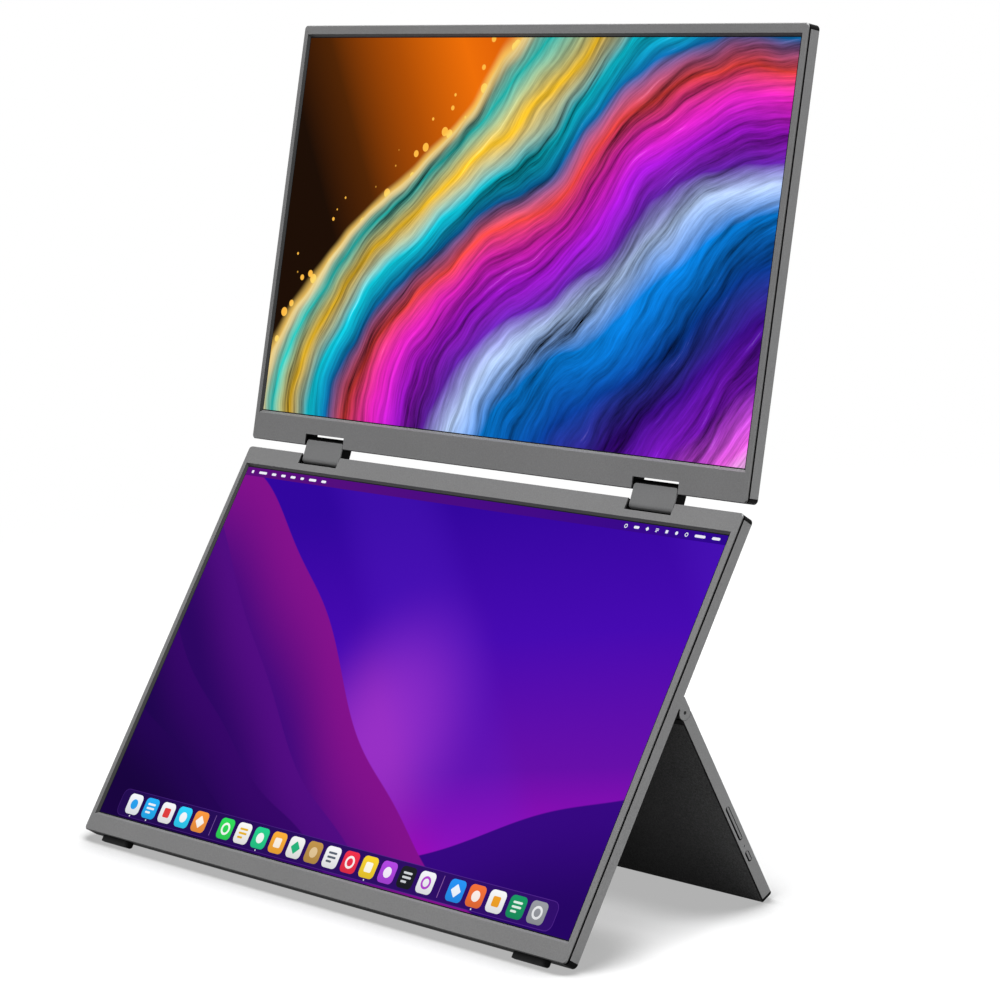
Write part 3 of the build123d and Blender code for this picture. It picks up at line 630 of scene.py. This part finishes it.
# lower picture: places are shares of its width and height
duneArt = {
    "skyLean": 0.35,
    "sky": [
        (0.0, (0.34, 0.003, 0.50)), (0.25, (0.13, 0.004, 0.40)), (0.6, (0.060, 0.002, 0.44)),
        (1.0, (0.030, 0.001, 0.34)),
    ],
    "glowPlace": (0.52, 0.36),
    "glowStretch": (1.9, 0.9),
    "glowReach": 0.42,
    "glowStrength": 0.80,
    "glowColour": (0.36, 0.035, 0.60, 1),
    "beams": (9.0, 5.0),                 # faint slanting beams in the sky, across and up
    "beamTone": (0.2, 1.0, 0.0, 0.22),
    "beamColour": (0.10, 0.012, 0.62, 1),
    "waves": (7.5, 23.0),
    "fineShare": 0.22,
    "crestBlur": 0.005,
    # crest, fall, swing, phase, width of the light along the crest, body and crest colours
    "dunes": [
        (-0.30, -0.62, 0.030, 0.6, 0.30, (0.018, 0.0008, 0.125), (0.036, 0.0015, 0.22)),
        (0.98, 1.22, 0.060, 0.4, 0.34, (0.052, 0.002, 0.20), (0.22, 0.005, 0.26)),
        (0.78, 1.30, 0.045, 2.1, 0.26, (0.026, 0.001, 0.125), (0.080, 0.003, 0.22)),
        (0.56, 1.18, 0.050, 3.7, 0.22, (0.014, 0.0008, 0.080), (0.036, 0.0012, 0.14)),
        (0.34, 1.05, 0.040, 5.2, 0.18, (0.009, 0.0005, 0.050), (0.018, 0.0007, 0.090)),
    ],
}


def layeredDunes(tree, u, v):
    # soft overlapping dunes under a violet sky, each lighter along its crest
    art = duneArt
    lean = calc(tree, "MULTIPLY", centred(tree, u), art["skyLean"])
    paint = ramp(tree, calc(tree, "SUBTRACT", v, lean), art["sky"])
    aside = calc(tree, "SUBTRACT", u, art["glowPlace"][0])
    glowX = calc(tree, "MULTIPLY", aside, art["glowStretch"][0])
    above = calc(tree, "SUBTRACT", v, art["glowPlace"][1])
    glowY = calc(tree, "MULTIPLY", above, art["glowStretch"][1])
    reach = length(tree, glowX, glowY)
    glow = remap(tree, reach, 0.0, art["glowReach"], art["glowStrength"], 0.0, "SMOOTHERSTEP")
    paint = blendColour(tree, glow, paint, art["glowColour"])
    across = calc(tree, "MULTIPLY", u, art["beams"][0])
    upwards = calc(tree, "MULTIPLY", v, art["beams"][1])
    beam = calc(tree, "SINE", calc(tree, "ADD", across, upwards))
    beam = remap(tree, beam, *art["beamTone"], "SMOOTHSTEP")
    paint = blendColour(tree, beam, paint, art["beamColour"])
    slow, quick = art["waves"]
    for crest, fall, swing, phase, width, dark, light in art["dunes"]:
        wave = calc(tree, "SINE", calc(tree, "ADD", calc(tree, "MULTIPLY", u, slow), phase))
        fine = calc(tree, "SINE", calc(tree, "ADD", calc(tree, "MULTIPLY", u, quick), phase))
        slope = calc(tree, "SUBTRACT", crest, calc(tree, "MULTIPLY", u, fall))
        wave = calc(tree, "MULTIPLY", wave, swing)
        fine = calc(tree, "MULTIPLY", fine, swing * art["fineShare"])
        line = calc(tree, "ADD", slope, calc(tree, "ADD", wave, fine))
        under = calc(tree, "SUBTRACT", line, v)
        below = remap(tree, under, 0.0, art["crestBlur"], 0.0, 1.0, "SMOOTHSTEP")
        near = remap(tree, under, 0.0, width, 1.0, 0.0, "SMOOTHSTEP")
        body = blendColour(tree, near, (*dark, 1), (*light, 1))
        paint = blendColour(tree, below, paint, body)
    return paint


def litMaterial(name, colours, reach):
    # a lit shape on the screen whose colour drifts from its left end to its right
    material, tree, shader = newMaterial(name)
    spot = wire(tree, "SeparateXYZ", {0: ownPlace(tree)}).outputs
    drift = remap(tree, spot["X"], -reach, reach, 0.0, 1.0)
    left, right = colours
    glowSurface(tree, shader, blendColour(tree, drift, (*left, 1), (*right, 1)))
    return material


def tileMaterial(name, places, colours, tones):
    # plain colours, one for each place in the row, a little lighter towards the top of a tile
    material, tree, shader = newMaterial(name)
    spot = wire(tree, "SeparateXYZ", {0: ownPlace(tree)}).outputs
    half = dock["width"] / 2
    edges = [(one + two) / 2 for one, two in zip(places, places[1:])]
    stops = [(0.0, colours[0])]
    stops += [((edge + half) / dock["width"], colour) for edge, colour in zip(edges, colours[1:])]
    place = calc(tree, "DIVIDE", calc(tree, "ADD", spot["X"], half), dock["width"])
    plain = ramp(tree, place, stops, "CONSTANT")
    rise = remap(tree, spot["Y"], -dock["tile"] / 2, dock["tile"] / 2, *tones)
    glowSurface(tree, shader, blendColour(tree, 1.0, plain, rise, "MULTIPLY"))
    return material


def onScreen(name, shape, material, rise):
    face = widestFace("lower_display", (0, -1, 0))
    settle(name, shape, face, "lower_monitor", material, rise)


def layers(lowest, highest):
    # from layers to heights above the display's face
    return lowest * screen["layer"], highest * screen["layer"]


# figures on the tiles, all as shares of a tile's side
figures = {
    "dot": 0.50,
    "square": 0.46,
    "squareCorner": 0.08,
    "bars": ((0.2, 0.56), (0.0, 0.56), (-0.2, 0.36)),        # height and length of each
    "barWidth": 0.1,
    "ring": (0.30, 0.19),
    "diamond": 0.44,
    "diamondCorner": 0.04,
}


def tileMark(shape, kind, x, size, low, high):
    if kind == "dot":
        across = size * figures["dot"]
        roundedPlate(shape, (x, 0), (across, across), across / 2, low, high, steps=6)
    elif kind == "square":
        across = size * figures["square"]
        roundedPlate(shape, (x, 0), (across, across), size * figures["squareCorner"], low, high)
    elif kind == "bars":
        longest = figures["bars"][0][1]
        width = figures["barWidth"]
        for row, share in figures["bars"]:
            middle = (x - size * (longest - share) / 2, size * row)
            roundedPlate(shape, middle, (size * share, size * width), size * width / 2, low, high)
    elif kind == "ring":
        outer, inner = figures["ring"]
        ringPlate(shape, (x, 0), size * outer, size * inner, low, high)
    elif kind == "diamond":
        across = size * figures["diamond"]
        roundedPlate(shape, (x, 0), (across, across), size * figures["diamondCorner"], low, high, turn=45)


dock = {
    "tile": 0.0106,
    "pitch": 0.0134,
    "corner": 0.0025,
    "rise": 0.0080,          # middle of the row above the lower edge of the picture
    "width": 0.3180,
    "height": 0.0136,
    "rim": 0.0006,
    "rimCorner": 0.0040,
    "groundCorner": 0.00375,
    "groups": (5, 12, 5),    # tiles between the thin dividers
    "divider": 0.0070,
    "dividerLine": 0.00035,
    "dividerCorner": 0.00015,
    "running": (0, 1, 7, 13, 18),
    "runningDot": 0.0008,
    "runningCorner": 0.00038,
    "runningDrop": 0.0009,
    "drift": 0.15,
    "rimColours": ((0.050, 0.012, 0.17), (0.085, 0.020, 0.27)),
    "groundColours": ((0.016, 0.003, 0.080), (0.030, 0.004, 0.150)),
    "dividerColours": ((0.16, 0.08, 0.30), (0.30, 0.12, 0.42)),
    "runningColours": ((0.75, 0.72, 0.85), (0.75, 0.72, 0.85)),
    "tileTones": (0.80, 1.08),
    "markTones": (0.90, 1.05),
    "tileColours": [
        (0.86, 0.88, 0.92), (0.02, 0.42, 0.90), (0.88, 0.88, 0.90), (0.03, 0.62, 0.92),
        (0.90, 0.30, 0.05), (0.03, 0.68, 0.10), (0.90, 0.90, 0.88), (0.02, 0.60, 0.26),
        (0.92, 0.40, 0.04), (0.86, 0.86, 0.84), (0.50, 0.28, 0.07), (0.88, 0.88, 0.90),
        (0.84, 0.03, 0.07), (0.90, 0.62, 0.03), (0.42, 0.06, 0.72), (0.013, 0.014, 0.018),
        (0.86, 0.87, 0.90), (0.02, 0.28, 0.88), (0.86, 0.16, 0.04), (0.88, 0.89, 0.90),
        (0.01, 0.30, 0.12), (0.30, 0.31, 0.34),
    ],
    "markColours": [
        (0.02, 0.35, 0.85), (0.88, 0.90, 0.94), (0.75, 0.05, 0.05), (0.90, 0.92, 0.95),
        (0.96, 0.90, 0.84), (0.90, 0.94, 0.90), (0.80, 0.45, 0.02), (0.88, 0.94, 0.90),
        (0.95, 0.86, 0.75), (0.02, 0.45, 0.20), (0.75, 0.55, 0.30), (0.10, 0.12, 0.16),
        (0.95, 0.88, 0.88), (0.98, 0.95, 0.80), (0.90, 0.82, 0.96), (0.65, 0.67, 0.70),
        (0.45, 0.06, 0.60), (0.85, 0.90, 0.98), (0.96, 0.86, 0.80), (0.85, 0.35, 0.02),
        (0.75, 0.88, 0.80), (0.80, 0.81, 0.83),
    ],
    "marks": "dot bars square dot diamond ring bars dot square diamond dot bars ring square dot bars ring "
             "diamond dot square bars ring",
}


def tilePlaces():
    # middles of the tiles along the row, and of the dividers between their groups
    total = dock["pitch"] * sum(dock["groups"]) + dock["divider"] * (len(dock["groups"]) - 1)
    x = -total / 2
    tiles = []
    dividers = []
    for count in dock["groups"]:
        if tiles:
            dividers.append(x + dock["divider"] / 2)
            x += dock["divider"]
        for index in range(count):
            tiles.append(x + dock["pitch"] / 2)
            x += dock["pitch"]
    return tiles, dividers


def lightDock():
    row = dock["rise"] - screen["pictureHeight"] / 2
    tile = dock["tile"]
    tiles, dividers = tilePlaces()
    shape = bmesh.new()
    size = (dock["width"] + dock["rim"], dock["height"] + dock["rim"])
    roundedPlate(shape, (0, 0), size, dock["rimCorner"], *layers(1, 1.5))
    onScreen("dockRim", shape, litMaterial("dockRim", dock["rimColours"], dock["drift"]), row)
    shape = bmesh.new()
    roundedPlate(shape, (0, 0), (dock["width"], dock["height"]), dock["groundCorner"], *layers(1, 2))
    onScreen("dockStrip", shape, litMaterial("dockGround", dock["groundColours"], dock["width"] / 2), row)
    shape = bmesh.new()
    for x in dividers:
        roundedPlate(shape, (x, 0), (dock["dividerLine"], tile), dock["dividerCorner"], *layers(2, 3),
                     steps=2)
    onScreen("dockDividers", shape, litMaterial("dividerLine", dock["dividerColours"], dock["drift"]), row)
    shape = bmesh.new()
    for x in tiles:
        roundedPlate(shape, (x, 0), (tile, tile), dock["corner"], *layers(2, 3), steps=5)
    paint = tileMaterial("dockTiles", tiles, dock["tileColours"], dock["tileTones"])
    onScreen("dockTiles", shape, paint, row)
    shape = bmesh.new()
    for x, kind in zip(tiles, dock["marks"].split()):
        tileMark(shape, kind, x, tile, *layers(3, 4))
    paint = tileMaterial("tileMarks", tiles, dock["markColours"], dock["markTones"])
    onScreen("tileMarks", shape, paint, row)
    # a dot under each tile that is running
    shape = bmesh.new()
    dot = dock["runningDot"]
    for index in dock["running"]:
        spot = (tiles[index], -tile / 2 - dock["runningDrop"])
        roundedPlate(shape, spot, (dot, dot), dock["runningCorner"], *layers(2, 3), steps=3)
    onScreen("runningDots", shape, litMaterial("runningDots", dock["runningColours"], dock["drift"]), row)


topBar = {
    "height": 0.0046,
    "corner": 0.0003,
    "start": 0.0040,         # first mark from either side of the picture
    "gap": 0.0042,
    "dash": 0.0013,
    "dashCorner": 0.45,      # share of the dash's height
    "left": (0.0, 0.0062, 0.0034, 0.0034, 0.0038, 0.0026, 0.0056, 0.0036),
    "right": (0.0050, 0.0066, 0.0, 0.0, 0.0, 0.0, 0.0, 0.0034, 0.0),          # from the right side inwards
    "figures": "square ring dot square bars diamond ring",       # stand where a length of 0 is given
    "figure": 0.0034,
    "figureRoom": 0.6,
    "groundColours": ((0.105, 0.004, 0.19), (0.024, 0.001, 0.27)),
    "markColours": ((0.90, 0.90, 0.98), (0.82, 0.82, 0.92)),
}


def lightTopBar():
    half = screen["pictureWidth"] / 2
    row = screen["pictureHeight"] / 2 - topBar["height"] / 2
    dash = topBar["dash"]
    shape = bmesh.new()
    size = (screen["pictureWidth"], topBar["height"])
    roundedPlate(shape, (0, 0), size, topBar["corner"], *layers(1, 2))
    onScreen("topBar", shape, litMaterial("topBar", topBar["groundColours"], half), row)
    shape = bmesh.new()
    kinds = topBar["figures"].split()
    for way, lengths in ((1, topBar["left"]), (-1, topBar["right"])):
        x = topBar["start"] - half
        for dashLength in lengths:
            wide = dashLength or topBar["figure"] * topBar["figureRoom"]
            spot = way * (x + wide / 2)
            if dashLength:
                corner = dash * topBar["dashCorner"]
                roundedPlate(shape, (spot, 0), (dashLength, dash), corner, *layers(2, 3), steps=3)
            else:
                tileMark(shape, kinds.pop(0), spot, topBar["figure"], *layers(2, 3))
            x += wide + topBar["gap"]
    onScreen("barMarks", shape, litMaterial("barMarks", topBar["markColours"], half), row)


def lightPictures():
    size = (screen["pictureWidth"], screen["pictureHeight"])
    for name, paint in (("upper", flowingBands), ("lower", layeredDunes)):
        face = widestFace(name + "_display", (0, -1, 0))
        shape = bmesh.new()
        roundedPlate(shape, (0, 0), size, screen["corner"], *layers(0, 1))
        picture = pictureMaterial(name + "Picture", paint)
        settle(name + "Picture", shape, face, name + "_monitor", picture)


lightPictures()
lightDock()
lightTopBar()
print("screens lit")

# small screws that hold the back covers, the hinge brackets and the stand's housing
screws = {
    "head": 0.0016,          # radius
    "well": 0.00072,         # radius of the six-lobed socket
    "lobe": 0.00014,
    "lobes": 6,
    "steps": 36,
    # share of the radius, and height above the face, from the bottom of the head to the bottom of the well
    "rimShape": ((0.9, -0.0002), (1.0, 0.0), (1.0, 0.000072), (0.93, 0.000136), (0.85, 0.00016)),
    "wellShape": ((1.0, 0.00016), (0.92, -0.00008)),
    "fromEdge": 0.0075,
    "fromSide": 0.0090,
    "byHinge": 0.0190,       # either side of a hinge's middle
    "backs": (("upperBackScrews", "upper_back_cover", "upper_monitor", 1),
              ("lowerBackScrews", "lower_back_cover", "lower_monitor", -1),
              ("standScrews", "stand_housing", "stand", 0)),
}


def screwHead(shape, middle):
    # a flat head with a softened rim and a six-lobed socket
    levels = [(screws["head"] * share, height, 0.0) for share, height in screws["rimShape"]]
    levels += [(screws["well"] * share, height, screws["lobe"]) for share, height in screws["wellShape"]]
    rings = []
    for radius, height, lobe in levels:
        ring = []
        for step in range(screws["steps"]):
            angle = 2 * math.pi * step / screws["steps"]
            reach = radius + lobe * math.cos(screws["lobes"] * angle)
            spot = (middle[0] + reach * math.cos(angle), middle[1] + reach * math.sin(angle), height)
            ring.append(shape.verts.new(spot))
        rings.append(ring)
    shape.faces.new(list(reversed(rings[0])))
    shape.faces.new(rings[-1])
    joinRings(shape, rings)


def setScrews():
    steel = surface("screwBlack", (0.045, 0.045, 0.046), 0.34, metal=0.8, grain=(0.0002, 0.2, 0.000006),
                    wearAndHighlight=(0.00015, 0.5, (0.16, 0.16, 0.165)), paintedGapShade=(0.0008, 0.9))
    links = [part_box(side + "_hinge_link") for side in ("left", "right")]
    hinges = [(low[0] + high[0]) / 2 for low, high in links]
    # a back face's own up points down, so a plus leads to its lower edge
    for name, node, body, hingeEdge in screws["backs"]:
        face = widestFace(node, (0, 1, 0))
        rise = face["height"] / 2 - screws["fromEdge"]
        side = face["width"] / 2 - screws["fromSide"]
        places = [(-side, rise), (side, rise), (-side, -rise), (side, -rise)]
        if hingeEdge:
            inner = hingeEdge * rise
            places = [(x, -inner) for x in (-side, side)]
            places += [(middle + way * screws["byHinge"], inner) for middle in hinges for way in (-1, 1)]
        shape = bmesh.new()
        for place in places:
            screwHead(shape, place)
        settle(name, shape, face, body, steel)


setScrews()
print("screws set")

# black tongues with gilt contacts, over the steel ones in the sockets on the stand's left side
sockets = {
    "roundPlaces": (0.007, -0.007),        # along the stand, from the middle of the round-ended pair
    "roundTongue": (0.00684, 0.00084),
    "videoPlace": -0.023,
    "videoTongue": (0.00720, 0.00084),
    "videoShift": -0.00035,
    "corner": 0.0002,
    "edge": 0.0001,
    "reach": (-0.0040, -0.00085),          # from the side of the stand
    "contactReach": (-0.0032, -0.00110),
    "contactPitch": 0.0006,
    "contactCount": 10,
    "contact": (0.0003, 0.00006),
    "contactCorner": 0.00002,
}


def dressSockets():
    housing = widestFace("stand_housing", (0, 1, 0))
    low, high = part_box("usb_c_sockets")
    middle = Vector((cadBox[0][0], (low[1] + high[1]) / 2, (low[2] + high[2]) / 2))
    side = {"middle": middle, "across": -housing["up"], "up": housing["out"], "out": Vector((-1, 0, 0))}
    tongues = bmesh.new()
    contacts = bmesh.new()
    rows = [(place, 0, sockets["roundTongue"]) for place in sockets["roundPlaces"]]
    rows.append((sockets["videoPlace"], sockets["videoShift"], sockets["videoTongue"]))
    count = sockets["contactCount"]
    for along, shift, size in rows:
        roundedPlate(tongues, (along, shift), size, sockets["corner"], *sockets["reach"],
                     edge=sockets["edge"])
        for index in range(count):
            across = along + (index - (count - 1) / 2) * sockets["contactPitch"]
            for way in (-1, 1):
                spot = (across, shift + way * size[1] / 2)
                roundedPlate(contacts, spot, sockets["contact"], sockets["contactCorner"],
                             *sockets["contactReach"], steps=1)
    plastic = surface("tongueBlack", (0.012, 0.012, 0.0125), 0.45, grain=(0.0002, 0.2, 0.000005))
    gilt = surface("contactGilt", (0.72, 0.50, 0.20), 0.30, metal=1.0, grain=(0.0001, 0.15, 0.000003))
    settle("socketTongues", tongues, side, "stand", plastic)
    settle("socketContacts", contacts, side, "stand", gilt)


dressSockets()
print("sockets dressed")

# finishes of the imported solids
# near black used only as painted shade, on faces in gaps, grooves and openings
paintedShadeBlack = (0.002, 0.002, 0.002)
# the bezels' window bevels that look inwards or down are painted near black as shade
greyMetal = surface("anodisedGrey", (0.158, 0.158, 0.159), 0.42, metal=0.15,
                    grain=(0.0006, 0.55, 0.000014), wearAndHighlight=(0.0005, 0.35, (0.34, 0.34, 0.35)),
                    paintedGapShade=(0.0015, 0.8), paintedShadeBevels=(0.013, 0.013, 0.0133))
# the trims' faces other than their outer sides are painted near black, as the shade in grooves and
# openings
stripMetal = surface("stripGrey", (0.180, 0.181, 0.182), 0.46, metal=0.15, grain=(0.0006, 0.50, 0.000014),
                     wearAndHighlight=(0.0004, 0.25, (0.32, 0.32, 0.33)), paintedGapShade=(0.0015, 0.6), paintedShadeRims=paintedShadeBlack)
coverMetal = surface("hingeCoverGrey", (0.145, 0.146, 0.148), 0.40, metal=0.2,
                     grain=(0.0005, 0.45, 0.000012), wearAndHighlight=(0.0008, 0.6, (0.36, 0.36, 0.37)),
                     paintedGapShade=(0.0015, 0.8))
# the case's base black is painted darker than its back faces, as the shade in its edges and grooves
caseBlack = surface("caseBlack", (0.0030, 0.0030, 0.0031), 0.55, grain=(0.0004, 0.35, 0.00003),
                    wearAndHighlight=(0.0002, 0.10, (0.010, 0.010, 0.0105)), paintedGapShade=(0.003, 1.0),
                    back=(0.021, 0.021, 0.0215), Specular_IOR_Level=0.05)
# the cover's left and right edge faces are painted near black, as the shade of a groove along the strips
innerBlack = surface("texturedBlack", (0.078, 0.078, 0.0785), 0.66, grain=(0.0008, 1.7, 0.00007),
                     paintedGapShade=(0.002, 0.3), sides=paintedShadeBlack, Specular_IOR_Level=0.05)
linkBlack = surface("linkBlack", (0.003, 0.003, 0.0031), 0.42, grain=(0.0003, 0.25, 0.00001),
                    wearAndHighlight=(0.0003, 0.15, (0.015, 0.015, 0.0155)), paintedGapShade=(0.002, 0.9),
                    Specular_IOR_Level=0.03)
rubber = surface("footRubber", (0.010, 0.010, 0.0105), 0.82, grain=(0.0005, 0.5, 0.00006),
                 wearAndHighlight=(0.0006, 0.3, (0.025, 0.025, 0.025)), marks=0.08, Specular_IOR_Level=0.15)
screenBlack = surface("screenEdgeBlack", (0.003, 0.003, 0.0035), 0.30, grain=(0.0006, 0.2, 0.000001),
                      marks=0.06, Specular_IOR_Level=0.05)
panelWhite = surface("backlightWhite", (0.75, 0.75, 0.76), 0.55, grain=(0.0005, 0.05, 0.00001))
boardGreen = surface("boardGreen", (0.012, 0.10, 0.035), 0.42, grain=(0.0009, 0.5, 0.00002))
turnedSteel = surface("turnedSteel", (0.50, 0.50, 0.51), 0.32, metal=1.0, grain=(0.0002, 0.15, 0.000008),
                      wearAndHighlight=(0.0003, 0.3, (0.75, 0.75, 0.76)))
# the pins are blackened steel, painted darker still as the shade of the hole they sit in
darkSteel = surface("darkPinSteel", (0.006, 0.006, 0.0062), 0.35, metal=0.7, grain=(0.0002, 0.2, 0.000008))
brass = surface("bushBrass", (0.62, 0.43, 0.16), 0.35, metal=1.0, grain=(0.0002, 0.15, 0.000008))
# the keys' faces other than their tops are painted near black, as the shade in the gaps round them
keyGrey = surface("keyGrey", (0.165, 0.166, 0.168), 0.45, metal=0.1, grain=(0.0003, 0.25, 0.00001),
                  wearAndHighlight=(0.0003, 0.3, (0.28, 0.28, 0.29)), paintedGapShade=(0.0015, 0.3), paintedShadeRims=paintedShadeBlack)
lightPipe = surface("lightPipe", (0.7, 0.72, 0.75), 0.2, grain=(0.0003, 0.05, 0.000003),
                    Transmission_Weight=0.4)

finishes = {
    greyMetal: ("lower_bezel", "upper_bezel"),
    stripMetal: ("lower_side_trims", "upper_side_trims", "stand_side_trims"),
    coverMetal: ("left_hinge_cover", "right_hinge_cover"),
    caseBlack: ("lower_back_cover", "upper_back_cover", "stand_housing", "stand_ears"),
    innerBlack: ("stand_inner_cover", "speakers"),
    linkBlack: ("left_hinge_link", "right_hinge_link"),
    rubber: ("lower_feet", "stand_foot_pads"),
    screenBlack: ("lower_display", "upper_display"),
    panelWhite: ("lower_backlight", "upper_backlight"),
    boardGreen: ("lower_driver_board", "upper_driver_board", "main_board", "switch_board"),
    turnedSteel: ("hinge_shafts", "lower_hinge_brackets", "upper_hinge_brackets", "rocker_pin",
                  "usb_c_sockets", "hdmi_socket"),
    darkSteel: ("stand_pivot_pins",),
    brass: ("stand_pivot_bushes",),
    keyGrey: ("menu_rocker", "power_button"),
    lightPipe: ("led_light_pipe",),
}
dressed = set()
for material, names in finishes.items():
    for name in names:
        nodes[name].data.materials.clear()
        nodes[name].data.materials.append(material)
        dressed.add(name)
print("finishes set:", len(dressed), "nodes, left plain:", sorted(set(nodes) - dressed))
